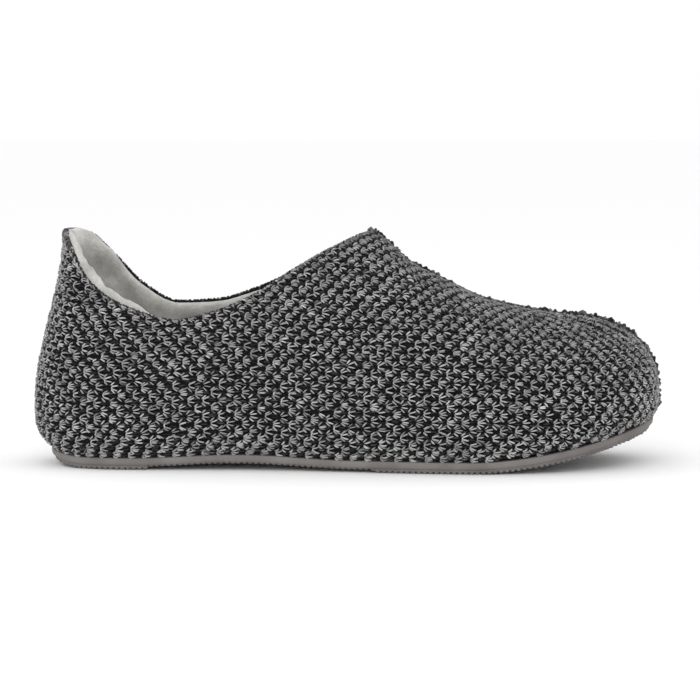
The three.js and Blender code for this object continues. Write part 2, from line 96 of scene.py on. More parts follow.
def smooth_curve(x, y):
    """A curve through the points that turns level at each high and low."""
    rise = np.diff(y) / np.diff(x)
    slope = np.zeros(len(y))
    slope[0], slope[-1] = rise[0], rise[-1]
    product = rise[:-1] * rise[1:]
    total = rise[:-1] + rise[1:]
    slope[1:-1] = np.where(product > 0, 2 * product / np.where(total == 0, 1, total), 0)

    def value(at):
        i = np.searchsorted(x[1:-1], at, side="left")
        h = x[i + 1] - x[i]
        t = (at - x[i]) / h
        left = (1 + 2 * t) * (1 - t) ** 2 * y[i] + t * (1 - t) ** 2 * h * slope[i]
        return left + t**2 * (3 - 2 * t) * y[i + 1] + t**2 * (t - 1) * h * slope[i + 1]

    return value


OUTER, INNER = -1, 1
(AT, outer_sole, inner_sole, bulge_share, top_share, outer_rim, inner_rim, low, high, outer_top, inner_top,
 lean_share, dome_share) = SECTIONS.T
OPEN = AT <= THROAT


def for_both_sides(at, outer, inner):
    return {OUTER: smooth_curve(at, outer), INNER: smooth_curve(at, inner)}


SOLE_HALF = for_both_sides(AT, outer_sole * SOLE_WIDTH, inner_sole * SOLE_WIDTH)
RIM_HALF = for_both_sides(AT[OPEN], outer_rim[OPEN] * SOLE_WIDTH, inner_rim[OPEN] * SOLE_WIDTH)
TOP_HEIGHT = for_both_sides(AT, low + (high - low) * outer_top, low + (high - low) * inner_top)
BULGE_HEIGHT = smooth_curve(AT, bulge_share * INSTEP_HEIGHT)
TOP_PLACE = smooth_curve(AT, top_share * LENGTH)
LEAN = smooth_curve(AT, lean_share)
DOME = smooth_curve(AT, dome_share)


def middle(x):
    """Sideways place of the shoe's middle line, which bends inwards at the toe."""
    return TOE_INFLARE * (np.maximum(0, x / LENGTH - INFLARE_FROM) / INFLARE_RUN) ** 2


def sole_share(x):
    """Place along the sole, from 0 at its heel end to 1 at its toe end."""
    return np.clip((x - HEEL_OVERHANG) / SOLE_LENGTH, 0, 1)


def toe_rise(share):
    return TOE_SPRING * (np.maximum(0, share - TOE_RISE_FROM) / TOE_RISE_RUN) ** SPRING_POWER


def plate_under(x):
    """Height of the plate's underside: flat on its pads, raised in the arch, sprung at toe and heel."""
    share = sole_share(x)
    arch = ARCH_RISE * np.sin(np.pi * np.clip((share - ARCH_FROM) / ARCH_RUN, 0, 1)) ** 2
    heel = HEEL_SPRING * (np.maximum(0, HEEL_RISE_RUN - share) / HEEL_RISE_RUN) ** 2
    return TREAD_THICKNESS + arch + toe_rise(share) + heel


def edge_place(at, side):
    """A point of the sole's edge from above. The places from 0 to 1 lie closer at heel and toe."""
    x = HEEL_OVERHANG + SOLE_LENGTH * (1 - np.cos(np.pi * at)) / 2
    return np.stack([x, middle(x) + side * SOLE_HALF[side](at)], axis=-1)


def sole_edge(at, side, out):
    """Points of the line where upper and sole meet, moved out by some millimetres."""
    at, out = np.broadcast_arrays(np.asarray(at, float), np.asarray(out, float))
    here, step = edge_place(at, side), 1e-4
    along = edge_place(np.minimum(at + step, 1), side) - edge_place(np.maximum(at - step, 0), side)
    outward = np.stack([-along[..., 1] * side, along[..., 0] * side], axis=-1)
    outward /= np.linalg.norm(outward, axis=-1, keepdims=True)
    outward[at <= 0] = (-1, 0)
    outward[at >= 1] = (1, 0)
    moved = here + outward * out[..., None]
    return np.concatenate([moved, (plate_under(here[..., 0]) + PLATE_THICKNESS)[..., None]], axis=-1)


def overhang(at):
    """How far the wall bulges out past the sole's edge."""
    heel = np.maximum(0, 1 - at / HEEL_FADE) ** 2
    toe = np.maximum(0, 1 - (1 - at) / TOE_FADE) ** 2
    return SIDE_OVERHANG + (HEEL_OVERHANG - SIDE_OVERHANG) * heel + (TOE_OVERHANG - SIDE_OVERHANG) * toe


def inward(share, lean, dome):
    """How much of its way in the wall has gone at a share of its height: a leaning wall or a dome."""
    wall = share**2 * (3 - 2 * share) + lean * share**2 * (share - 1)
    bow = 1 - (1 - share**FULLNESS) ** (1 / FULLNESS)
    return wall * (1 - dome) + bow * dome


def run_of(steps):
    """Length from a line's start to each of its points, from the steps between them."""
    return np.concatenate([[0], np.cumsum(np.linalg.norm(steps, axis=1))])


def point_at(place, run, points):
    """Values of a line of points at some lengths from its start."""
    return np.stack([np.interp(place, run, points[:, k]) for k in range(3)], axis=-1)


# The skin of the last as a grid: stations run from the toe (-1) along the outer side to the heel (0)
# and along the inner side back to the toe (1); shares run up from the sole's edge (0) to the top (1).
HALF_STATIONS, SHARES, PROFILE_STEPS = 320, 160, 60


def half_skin(side):
    """The skin of one side from heel to toe, and the length of its wall at each station."""
    at = np.linspace(0, 1, HALF_STATIONS + 1)[:, None]
    out, rise = overhang(at), BULGE_HEIGHT(at)
    base = sole_edge(at, side, 0.0)[..., 2] + CLEARANCE + rise
    g = np.linspace(0, 1, PROFILE_STEPS + 1)[None, :]
    under = sole_edge(at, side, out * (1 - (1 - g) ** UNDERCUT_POWER))
    under[..., 2] = base - rise * (1 - g)
    g = np.sin(np.arange(1, PROFILE_STEPS + 1) / PROFILE_STEPS * np.pi / 2)[None, :]
    wide = sole_edge(at, side, out)
    x = TOP_PLACE(at)
    rim = np.where(at < THROAT, RIM_HALF[side](np.minimum(at, THROAT)), 0.0)
    y = middle(x) + side * rim
    f = inward(g, LEAN(at), DOME(at))
    z = base + (TOP_HEIGHT[side](at) - base) * g
    to_x, to_y = wide[..., 0] + (x - wide[..., 0]) * f, wide[..., 1] + (y - wide[..., 1]) * f
    over = np.stack([to_x, to_y, z], axis=-1)
    profiles = np.concatenate([under, over], axis=1)
    runs = [run_of(np.diff(profile, axis=0)) for profile in profiles]
    want = np.linspace(0, 1, SHARES + 1)
    grid = np.array([point_at(want * run[-1], run, profile) for run, profile in zip(runs, profiles)])
    return grid, np.array([run[-1] for run in runs])


outer_grid, outer_length = half_skin(OUTER)
inner_grid, inner_length = half_skin(INNER)
SKIN = np.concatenate([outer_grid[::-1], inner_grid[1:]])
SKIN_LENGTH = np.concatenate([outer_length[::-1], inner_length[1:]])
ROUND = np.linspace(-1, 1, len(SKIN))
UP = np.linspace(0, 1, SHARES + 1)


def unit(v):
    return v / np.maximum(np.linalg.norm(v, axis=-1, keepdims=True), 1e-12)


ALONG = np.gradient(SKIN, ROUND, axis=0)
ACROSS = np.gradient(SKIN, UP, axis=1)
NORMAL = unit(-np.cross(ALONG, ACROSS))
ridge = np.abs(ROUND) >= THROAT
NORMAL[ridge, -1] = unit(NORMAL[ridge, -2] + NORMAL[::-1][ridge, -2])
NORMAL[0] = NORMAL[-1] = unit(NORMAL[1] + NORMAL[-2])


def on_grid(grid, w, s):
    """Values of a grid between its stations and shares."""
    i = np.clip((w + 1) / 2, 0, 1) * (len(ROUND) - 1)
    j = np.clip(s, 0, 1) * SHARES
    a, b = np.minimum(i.astype(int), len(ROUND) - 2), np.minimum(j.astype(int), SHARES - 1)
    u, v = (i - a)[..., None], (j - b)[..., None]
    lower = grid[a, b] * (1 - u) + grid[a + 1, b] * u
    upper = grid[a, b + 1] * (1 - u) + grid[a + 1, b + 1] * u
    return lower * (1 - v) + upper * v


def linear(hex_colour):
    """Linear red, green, blue and alpha of an sRGB hex colour."""
    parts = [int(hex_colour[i:i + 2], 16) / 255 for i in (1, 3, 5)]
    return tuple(c / 12.92 if c <= 0.04045 else ((c + 0.055) / 1.055) ** 2.4 for c in parts) + (1.0,)


def add_node(material, kind, settings=(), links=()):
    """Adds a node to a material, with its settings and the sockets that feed it."""
    node = material.node_tree.nodes.new(kind)
    for name, value in dict(settings).items():
        if isinstance(name, int) or name in node.inputs:
            node.inputs[name].default_value = value
        else:
            setattr(node, name, value)
    for name, socket in dict(links).items():
        material.node_tree.links.new(socket, node.inputs[name])
    return node


def new_material(name, roughness, specular, sheen=0.0, sheen_roughness=0.5):
    material = bpy.data.materials.new(name)
    material.use_nodes = True
    shader = material.node_tree.nodes["Principled BSDF"]
    shader.inputs["Roughness"].default_value = roughness
    shader.inputs["Specular IOR Level"].default_value = specular
    shader.inputs["Sheen Weight"].default_value = sheen
    shader.inputs["Sheen Roughness"].default_value = sheen_roughness
    return material, shader


def colour_ramp(material, factor, stops):
    ramp = add_node(material, "ShaderNodeValToRGB", links={"Fac": factor})
    elements = ramp.color_ramp.elements
    while len(elements) < len(stops):
        elements.new(0.5)
    for element, (place, colour) in zip(elements, stops):
        element.position = place
        element.color = linear(colour)
    return ramp.outputs["Color"]


def noise(material, size, detail, distortion=0.0):
    """Noise in lumps of a size in millimetres."""
    place = add_node(material, "ShaderNodeTexCoord").outputs["Object"]
    settings = {"Scale": 1 / (size * MM), "Detail": detail, "Distortion": distortion}
    return add_node(material, "ShaderNodeTexNoise", settings, {"Vector": place}).outputs["Fac"]


def finish_material(material, shader, colour, height, strength, depth):
    """Gives the shader its colour and a bump of a depth in millimetres."""
    settings = {"Strength": strength, "Distance": depth * MM}
    bump = add_node(material, "ShaderNodeBump", settings, {"Height": height})
    material.node_tree.links.new(colour, shader.inputs["Base Color"])
    material.node_tree.links.new(bump.outputs["Normal"], shader.inputs["Normal"])
    return material


def yarn_material(name, stops):
    """Wool-mix yarn, carded and plied: matt, with a haze of short fibres. Each ply has its own tone."""
    material, shader = new_material(name, roughness=0.92, specular=0.15, sheen=0.1, sheen_roughness=0.4)
    tone = add_node(material, "ShaderNodeAttribute", {"attribute_name": "tone"}).outputs["Fac"]
    # Fibres clump about every 0.3 mm.
    clumps = noise(material, size=0.3, detail=3.0)
    mixed = add_node(material, "ShaderNodeMath", {"operation": "MULTIPLY_ADD", 1: 0.3, 2: -0.15}, {0: clumps})
    shade = add_node(material, "ShaderNodeMath", {"operation": "ADD"}, {0: tone, 1: mixed.outputs[0]})
    colour = colour_ramp(material, shade.outputs[0], stops)
    return finish_material(material, shader, colour, clumps, strength=0.5, depth=0.12)


def ground_material():
    """The knit's dark backing, seen between the light plies: the same yarn, packed, its tones darkened below
    the yarn's own with painted shade.
    """
    material, shader = new_material("charcoal_knit_backing_and_painted_shade", 0.95, 0.1, sheen=0.05, sheen_roughness=0.4)
    strands = noise(material, size=0.8, detail=4.0)
    # Painted shade: these near-black tones stand for the shade between the plies as well as the charcoal
    # yarn.
    colour = colour_ramp(material, strands, [(0.3, "#0a0a0b"), (0.55, "#151516"), (0.75, "#2b2b2c")])
    return finish_material(material, shader, colour, strands, strength=0.9, depth=0.5)


def fleece_material(name, colours):
    """Knitted polyester fleece, brushed: dull, soft at grazing angles, in curls of about a millimetre."""
    material, shader = new_material(name, roughness=1.0, specular=0.1, sheen=0.6, sheen_roughness=0.6)
    curls = noise(material, size=1.3, detail=4.0, distortion=0.8)
    drift = noise(material, size=9, detail=2.0)
    both = add_node(material, "ShaderNodeMath", {"operation": "MULTIPLY_ADD", 1: 0.5}, {0: curls, 2: drift})
    colour = colour_ramp(material, both.outputs[0], list(zip((0.45, 0.75, 1.0), colours)))
    return finish_material(material, shader, colour, curls, strength=0.7, depth=0.5)


def rubber_material():
    """Thermoplastic rubber from a blasted mould: matt grey with a fine even grain."""
    material, shader = new_material("moulded_grey_rubber", roughness=0.62, specular=0.35)
    cloud = noise(material, size=12, detail=3.0)
    grain = noise(material, size=0.35, detail=2.0)
    colour = colour_ramp(material, cloud, [(0.35, "#686361"), (0.65, "#74706e")])
    return finish_material(material, shader, colour, grain, strength=0.25, depth=0.08)


MELANGE = [(0.0, "#0d0d0e"), (0.35, "#303031"), (0.65, "#8a8a8a"), (1.0, "#cacac9")]
CHARCOAL = [(0.0, "#101011"), (0.5, "#2c2c2d"), (1.0, "#6e6e6f")]
melange_yarn = yarn_material("melange_wool_mix_yarn", MELANGE)
seam_yarn = yarn_material("charcoal_whipping_yarn", CHARCOAL)
knit_ground = ground_material()
fleece = fleece_material("brushed_polyester_fleece", ("#8b8984", "#a8a6a1", "#bfbdb8"))
# Painted light: the footbed has the lining's fleece in lighter tones, to offset the shade it lies in inside
# the shoe.
footbed_fleece_painted_light = fleece_material("footbed_fleece_with_painted_light", ("#b4b2ad", "#cdcbc6", "#dedcd7"))
rubber = rubber_material()


def make_piece(name, points, faces, material, slot, tone=None, map_places=None):
    """A mesh from points of the last in millimetres and lists of triangles and quads."""
    mesh = bpy.data.meshes.new(name)
    points = (np.asarray(points, float).reshape(-1, 3) + LAST_TO_ORIGIN) * MM
    corners = np.concatenate([f.ravel() for f in faces]).astype(np.int32)
    sizes = np.concatenate([np.full(len(f), f.shape[1]) for f in faces]).astype(np.int32)
    mesh.vertices.add(len(points))
    mesh.vertices.foreach_set("co", points.ravel())
    mesh.loops.add(len(corners))
    mesh.loops.foreach_set("vertex_index", corners)
    mesh.polygons.add(len(sizes))
    mesh.polygons.foreach_set("loop_start", np.concatenate([[0], np.cumsum(sizes)[:-1]]).astype(np.int32))
    mesh.update(calc_edges=True)
    mesh.polygons.foreach_set("use_smooth", np.ones(len(sizes), bool))
    if tone is not None:
        values = np.asarray(tone, np.float32).ravel()
        mesh.attributes.new("tone", "FLOAT", "POINT").data.foreach_set("value", values)
    if map_places is not None:
        layer = mesh.uv_layers.new(name="OFBake")
        layer.uv.foreach_set("vector", np.asarray(map_places, np.float32)[corners].ravel())
    mesh.materials.append(material)
    piece = bpy.data.objects.new(name, mesh)
    bpy.context.collection.objects.link(piece)
    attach(piece, "root")
    return piece


def select_only(piece):
    bpy.ops.object.select_all(action="DESELECT")
    piece.select_set(True)
    bpy.context.view_layer.objects.active = piece


def merge_and_turn_out(piece, reach=0.02 * MM):
    """Merges points that lie together and points all faces outwards."""
    select_only(piece)
    bpy.ops.object.mode_set(mode="EDIT")
    bpy.ops.mesh.select_all(action="SELECT")
    bpy.ops.mesh.remove_doubles(threshold=reach)
    bpy.ops.mesh.normals_make_consistent(inside=False)
    bpy.ops.mesh.delete_loose(use_verts=True, use_edges=True, use_faces=False)
    bpy.ops.object.mode_set(mode="OBJECT")
    piece.select_set(False)


def apply_modifier(piece, kind, settings):
    select_only(piece)
    modifier = piece.modifiers.new(kind.title(), kind)
    for name, value in settings.items():
        setattr(modifier, name, value)
    bpy.ops.object.modifier_apply(modifier=modifier.name)
    piece.select_set(False)


def grid_faces(rows, columns, first=0):
    """Quads between the points of a grid that is numbered row by row."""
    i = np.arange(rows - 1)[:, None] * columns + np.arange(columns - 1)[None, :] + first
    return np.stack([i, i + columns, i + columns + 1, i + 1], axis=-1).reshape(-1, 4)


def strand_mesh(path, normal, radius, tone, sides):
    """Spindles along short paths: a point, rings and a point again. Also the places on the bake's map."""
    count, steps = path.shape[:2]
    along = unit(np.gradient(path, axis=1))
    side = unit(np.cross(along, normal))
    lift = np.cross(side, along)
    turn = (np.arange(sides) + 0.5) * 2 * np.pi / sides
    inner = slice(1, steps - 1)
    ring = (np.cos(turn)[None, None, :, None] * side[:, inner, None, :]
            + np.sin(turn)[None, None, :, None] * lift[:, inner, None, :])
    rings = path[:, inner, None, :] + ring * radius[:, inner, None, None]
    per = (steps - 2) * sides + 2
    points = np.concatenate([path[:, :1], rings.reshape(count, -1, 3), path[:, -1:]], axis=1)
    start = np.arange(count)[:, None] * per
    k = np.arange(sides)
    after = (k + 1) % sides
    first = np.stack([np.zeros(sides, int), 1 + k, 1 + after], axis=-1)
    last_ring = 1 + (steps - 3) * sides
    last = np.stack([np.full(sides, per - 1), last_ring + after, last_ring + k], axis=-1)
    caps = np.concatenate([first, last])
    between = np.stack([after, k, sides + k, sides + after], axis=-1) + 1
    quads = np.concatenate([between + j * sides for j in range(steps - 3)])
    faces = [(start[:, :, None] + part[None]).reshape(-1, part.shape[1]) for part in (caps, quads)]
    # Each strand has its own small square of the map, the strands set out by tone.
    wide = math.ceil(math.sqrt(count))
    order = np.empty(count, int)
    order[np.argsort(tone, kind="stable")] = np.arange(count)
    square = np.stack([order % wide, order // wide], axis=-1)
    u = np.concatenate([[0.5], np.tile((k + 0.5) / sides, steps - 2), [0.5]])
    v = np.concatenate([[0.05], np.repeat(np.linspace(0.2, 0.8, steps - 2), sides), [0.95]])
    places = (square[:, None, :] + 0.1 + 0.8 * np.stack([u, v], axis=-1)[None]) / wide
    return points.reshape(-1, 3), faces, np.repeat(tone, per), places.reshape(-1, 2)


def strand_piece(name, path, normal, radius, tone, material, slot, sides=4):
    points, faces, tones, places = strand_mesh(path, normal, radius, tone, sides)
    return make_piece(name, points, faces, material, slot, tones, places)


# The knit: rows of small shells that open towards the toe on the outer side, a brick pattern of
# light plies over a dark ground. The rows stay level along the side and dip a little at the toe.
# Pitch and dip are measured on the photo. Round the heel every row has the same number of shells, and
# round the toe all rows share one row's steps, or the brick pattern would be lost on the inner side.
PITCH, HEEL_PITCH, ROW = 6.3, 6.02, 3.3
HEEL_ROW_ENDS, TOE_ROW_FROM, SHARED_ROW = 0.44, 0.8, 7
LOWEST_CELL, CLOSEST_CELLS, PAST_RIM = 0.5, 4.4, 1.8
# How far the rows dip at the toe, and from where, in millimetres, with the power of the dip's curve.
TOE_DIP, DIP_FROM, DIP_RUN, DIP_POWER = 5.0, 185, 78, 1.7
# Rows spread where the wall leans in: by its length up to this height against a plain wall's, to a
# power and up to a limit.
LEVEL_UP_TO, PLAIN_CLIMB, CLIMB_POWER, MOST_CLIMB = 34.0, 1.06, 0.8, 1.07
# Unevenness of the shells' places: in shells along the row, and in millimetres across it.
ALONG_JITTER, ACROSS_JITTER = 0.015, 0.07


def row_drop():
    """How far the rows lie below rows that follow the sole's edge: they stay level over the toe's rise."""
    x = SKIN[:, 0, 0]
    return toe_rise(sole_share(x)) + TOE_DIP * np.clip((x - DIP_FROM) / DIP_RUN, 0, 1) ** DIP_POWER


def row_climb():
    """Length of the wall for each millimetre of its height: more where it leans in. Rows keep one height."""
    rise = SKIN[:, :, 2] - SKIN[:, :1, 2]
    reach = [np.interp(LEVEL_UP_TO, z, UP * length) for z, length in zip(rise, SKIN_LENGTH)]
    return np.minimum((np.array(reach) / LEVEL_UP_TO / PLAIN_CLIMB) ** CLIMB_POWER, MOST_CLIMB)


def spread_out(places, least):
    """Numbers of the places along a row that lie at least this far apart."""
    picked = [0]
    for i, place in enumerate(places):
        if place - places[picked[-1]] > least:
            picked.append(i)
    return picked


def knit_rows():
    """For every row its share up the wall at each station, and the count of shells up to there."""
    drop, climb = row_drop(), row_climb()
    rows = []
    for k in range(int(((SKIN_LENGTH + drop) / climb).max() / ROW) + 1):
        share = ((k + 0.5) * ROW * climb - drop) / SKIN_LENGTH
        inside = (share > -0.01) & (share < 1.0)
        step = np.diff(on_grid(SKIN, ROUND, np.clip(share, 0, 1)), axis=0)
        step[:, 2] *= inside[1:] & inside[:-1]
        run = run_of(step)
        run -= np.interp(-HEEL_ROW_ENDS, ROUND, run)
        rows.append((share, run, np.interp(HEEL_ROW_ENDS, ROUND, run)))
    heel_count = round(np.mean([heel for _, _, heel in rows]) / HEEL_PITCH)
    counts = []
    for _, run, heel in rows:
        from_heel = np.where(run < heel, run * heel_count / heel, heel_count + (run - heel) / PITCH)
        counts.append(np.where(run < 0, run / PITCH, from_heel))
    shared = counts[SHARED_ROW]
    for k, count in enumerate(counts):
        own = count
        for end in (ROUND < -TOE_ROW_FROM, ROUND > TOE_ROW_FROM):
            start = np.argmin(np.where(end, np.abs(ROUND), 2))
            count = np.where(end, own[start] + shared - shared[start], count)
        yield k, rows[k][0], rows[k][1], count


def knit_cells():
    """Place (station, share) of every shell of the knit, and how its row climbs over the stations."""
    cells = []
    near = 0.004
    for k, share, run, count in knit_rows():
        place = np.arange(math.ceil(count[0]) - 1, count[-1] + 1) + 0.5 * (k % 2)
        place = place + rng.normal(0, ALONG_JITTER, len(place))
        place = place[(place > count[0]) & (place < count[-1])]
        w = np.interp(place, count, ROUND)
        w = w[spread_out(np.interp(w, ROUND, run), CLOSEST_CELLS)]
        wall = np.interp(w, ROUND, SKIN_LENGTH)
        s = np.interp(w, ROUND, share) + rng.normal(0, ACROSS_JITTER, len(w)) / wall
        slope = (np.interp(w + near, ROUND, share) - np.interp(w - near, ROUND, share)) / (2 * near)
        # At the open collar the shells reach over the rim, and at the ridge they end just under it.
        highest = np.where(np.abs(w) < THROAT - 0.02, 1 + PAST_RIM / wall, 0.997)
        kept = (s > LOWEST_CELL / wall) & (s < highest)
        cells.append(np.stack([w[kept], s[kept], slope[kept]], axis=-1))
    return np.concatenate(cells)


def plies_of(cells, u, v, h):
    """Paths over the skin for points given along (u), across (v) and above (h) their cells."""
    w, s, slope = cells.T
    along, across = on_grid(ALONG, w, s), on_grid(ACROSS, w, s)
    normal = unit(on_grid(NORMAL, w, s))
    ahead = -unit(along + across * slope[:, None])
    ahead = unit(ahead - normal * (ahead * normal).sum(-1, keepdims=True))
    up = np.cross(normal, ahead)
    aa, cc, ac = (along**2).sum(-1), (across**2).sum(-1), (along * across).sum(-1)
    det = np.maximum(aa * cc - ac**2, 1e-6)
    move = u[..., None] * ahead[:, None] + v[..., None] * up[:, None]
    ma, mc = (move * along[:, None]).sum(-1), (move * across[:, None]).sum(-1)
    dw = (cc[:, None] * ma - ac[:, None] * mc) / det[:, None]
    ds = (aa[:, None] * mc - ac[:, None] * ma) / det[:, None]
    w, s = w[:, None] + dw, s[:, None] + ds
    here = unit(on_grid(NORMAL, w, s))
    return on_grid(SKIN, w, s) + here * h[..., None], here


# A ply's height above the skin and thickness, from its hidden root to its hidden end.
STEPS = np.array([0.0, 0.22, 0.5, 0.78, 1.0])
LIGHT_HEIGHT = np.array([-0.9, -0.1, 0.28, 0.05, -0.7])
DARK_HEIGHT = np.array([-0.9, -0.35, -0.05, -0.3, -0.9])
THICKNESS = np.array([0.35, 0.9, 1.0, 0.95, 0.45])
LIGHT_RADIUS, DARK_RADIUS, BEND_RADIUS = 0.36, 0.34, 0.33
LIGHT_TONE, DARK_TONE, BEND_TONE = 0.71, 0.29, 0.7
# The plies of each shell fan out from a spot this far behind it. For each ply of the fan: its angle in
# degrees, its start and end from that spot, and the share of shells that have it.
FAN_BACK = 3.3
LIGHT_FAN = (
    (-40, 1.1, 3.9, 0.97), (-15, 1.1, 4.8, 1.0), (2, 1.4, 4.9, 0.45), (16, 1.1, 4.8, 1.0),
    (40, 1.1, 3.9, 0.97),
)
DARK_FAN = ((-27, 1.6, 6.0, 0.9), (-5, 3.6, 6.9, 0.9), (7, 3.4, 6.7, 0.9), (27, 1.6, 6.0, 0.9))
# The bend of the yarn at the closed end of a shell: its places from the spot, width and share of shells.
BEND, BEND_WIDTH, BEND_SHARE = np.array([2.6, 1.75, 1.5, 1.75, 2.6]), 2.6, 0.7
# Where the stations crowd together at the toe's top a ply can come out too long. Those are left out.
LONGEST_PLY = 6.3
# Painted shade: the plies' tone is made a little darker where the knit faces up, to match its darker look
# there.
PAINTED_SHADE_ON_TOP = 0.13


def fan_plies(cells, angle, near, far, heights, radius, tone):
    """One ply in each cell, pointing away from the spot behind the cell."""
    count = len(cells)
    angle = np.radians(angle + rng.normal(0, 4, count))
    near = near + rng.normal(0, 0.1, count)
    far = far + rng.normal(0, 0.18, count)
    r = near[:, None] + (far - near)[:, None] * STEPS
    curl = rng.normal(0, 0.05, count)[:, None] * (STEPS - 0.5)
    u = r * np.cos(angle[:, None] + curl) - FAN_BACK
    v = r * np.sin(angle[:, None] + curl)
    h = heights + rng.normal(0, 0.07, count)[:, None]
    path, normal = plies_of(cells, u, v, h)
    thick = radius * (1 + rng.normal(0, 0.12, count))[:, None] * THICKNESS
    return path, normal, thick, np.clip(tone, 0, 1)


def bend_plies(cells):
    """The yarn's bend in each cell, across the fan's closed end."""
    count = len(cells)
    bend = np.stack([BEND - FAN_BACK, STEPS * BEND_WIDTH - BEND_WIDTH / 2], axis=-1)
    bend = bend + rng.normal(0, 0.1, (count, 1, 2))
    path, normal = plies_of(cells, bend[..., 0], bend[..., 1], (LIGHT_HEIGHT - 0.05)[None])
    tone = np.clip(BEND_TONE + rng.normal(0, 0.09, count), 0, 1)
    return path, normal, np.tile(BEND_RADIUS * THICKNESS, (count, 1)), tone


cells = knit_cells()
groups = []
lightness = rng.normal(0, 0.04, len(cells))
for angle, near, far, share in LIGHT_FAN:
    chosen = rng.random(len(cells)) < share
    tone = LIGHT_TONE + lightness[chosen] + rng.normal(0, 0.07, chosen.sum())
    groups.append(fan_plies(cells[chosen], angle, near, far, LIGHT_HEIGHT, LIGHT_RADIUS, tone))
for angle, near, far, share in DARK_FAN:
    chosen = rng.random(len(cells)) < share
    tone = DARK_TONE + rng.normal(0, 0.12, chosen.sum())
    groups.append(fan_plies(cells[chosen], angle, near, far, DARK_HEIGHT, DARK_RADIUS, tone))
groups.append(bend_plies(cells[rng.random(len(cells)) < BEND_SHARE]))
paths, normals, radii, tones = (np.concatenate(part) for part in zip(*groups))
sound = np.linalg.norm(np.diff(paths, axis=1), axis=2).sum(axis=1) < LONGEST_PLY
paths, normals, radii, tones = paths[sound], normals[sound], radii[sound], tones[sound]
# Painted shade: plies whose middle faces up get a darker tone.
tones = np.clip(tones - PAINTED_SHADE_ON_TOP * np.clip(normals[:, 2, 2], 0, 1), 0, 1)

# Four pieces of knit, so that none has too many faces.
QUARTER_TO = 125.0
middle_of = paths[:, 2]
outer_side = middle_of[:, 1] < middle(middle_of[:, 0])
rear = middle_of[:, 0] < QUARTER_TO
for name, part in (
    ("knit_outer_quarter", outer_side & rear),
    ("knit_outer_vamp", outer_side & ~rear),
    ("knit_inner_quarter", ~outer_side & rear),
    ("knit_inner_vamp", ~outer_side & ~rear),
):
    strand_piece(name, paths[part], normals[part], radii[part], tones[part], melange_yarn, "knit")

# Sheets over the whole skin, of every second station and every fifth share.
sheet_w, sheet_s = ROUND[::2], UP[::5]
grid_w, grid_s = np.meshgrid(sheet_w, sheet_s, indexing="ij")
sheet = on_grid(SKIN, grid_w, grid_s)
sheet_normal = unit(on_grid(NORMAL, grid_w, grid_s))

# The ground: a closed sheet just under the plies, coloured charcoal with painted shade.
GROUND_SINK, GROUND_THICKNESS = 0.75, 0.9
ground_faces = [grid_faces(len(sheet_w), len(sheet_s))]
ground = make_piece("knit_ground", sheet - sheet_normal * GROUND_SINK, ground_faces, knit_ground, "knit")
merge_and_turn_out(ground)
apply_modifier(ground, "SOLIDIFY", {"thickness": GROUND_THICKNESS * MM, "offset": -1.0})
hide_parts("upper")

# The fleece: from the knit's inner side to the wall's inner side, fuller in a roll at the collar.
# The roll's bulge inwards: its least, what a roll of full height adds, and how far down the wall its
# middle lies and it fades out. Then the steps of its hump over the edge.
ROLL_LEAST, ROLL_MORE, FULL_ROLL, ROLL_CENTRE, ROLL_FADE, ROLL_STEPS = 1.5, 1.6, 5, 3, 6, 10


def soft_noise(points, size, seed):
    """A smooth random value from -1 to 1 at each point, in lumps of about this size."""
    picks = np.random.default_rng(seed)
    total = np.zeros(points.shape[:-1])
    for _ in range(14):
        direction = unit(picks.normal(size=3))
        wave = size * picks.uniform(0.7, 1.6)
        total += np.sin(points @ direction * 2 * np.pi / wave + picks.uniform(0, 2 * np.pi))
    return total / 4.5


def roll_height(w):
    """How high the fleece stands over the knit's edge: most on the outer side, beside the heel."""
    from_crest = -w - 0.185
    crest = 6.6 * np.exp(-((from_crest / np.where(from_crest < 0, 0.1, 0.07)) ** 2))
    heel = 1.1 * np.exp(-(((w - 0.1) / 0.06) ** 2)) + 1.2 * np.exp(-(((w - 0.2) / 0.012) ** 2))
    return 0.6 + crest + heel


def lining():
    """The lining's sheet against the knit, the steps of its roll over the edge, and its inner sheet."""
    wall = on_grid(np.repeat(SKIN_LENGTH[:, None, None], SHARES + 1, 1), grid_w, grid_s)[..., 0]
    reach = (1 - grid_s) * wall
    collar = np.clip((THROAT - np.abs(grid_w)) / 0.05, 0, 1)
    bulge = ROLL_LEAST + ROLL_MORE * (roll_height(grid_w) / FULL_ROLL)
    roll = bulge * np.exp(-(((reach - ROLL_CENTRE) / ROLL_FADE) ** 2)) * collar
    folds = 0.75 * soft_noise(sheet, 13, 3) + 0.3 * soft_noise(sheet, 5, 4)
    depth = np.maximum(WALL + CLEARANCE + roll + folds, GROUND_SINK + GROUND_THICKNESS + 0.4)
    inside = sheet - sheet_normal * depth[..., None]
    outside = sheet - sheet_normal * (GROUND_SINK + GROUND_THICKNESS + 0.05)
    # The roll closes over the knit's edge. Past the throat both layers end on the ridge.
    up = unit(on_grid(ACROSS, sheet_w, np.full(len(sheet_w), 0.98)))
    over = []
    gap = inside[:, -1] - outside[:, -1]
    waves = 1 + 0.2 * soft_noise(outside[:, -1], 13, 9) + 0.16 * soft_noise(outside[:, -1], 5, 10)
    height = roll_height(sheet_w) * waves * np.clip((THROAT - np.abs(sheet_w)) / 0.03, 0, 1)
    for t in np.linspace(0, 1, ROLL_STEPS)[1:-1]:
        hump = height * math.sin(math.pi * t) ** 0.8
        over.append(outside[:, -1] + gap * (t - 0.12 * math.sin(math.pi * t)) + up * hump[:, None])
    return outside, np.stack(over, axis=1), inside


outside, over, inside = lining()
strip = np.concatenate([outside, over, inside[:, ::-1], outside[:, :1]], axis=1)
faces = grid_faces(*strip.shape[:2]).reshape(len(strip) - 1, -1, 4)
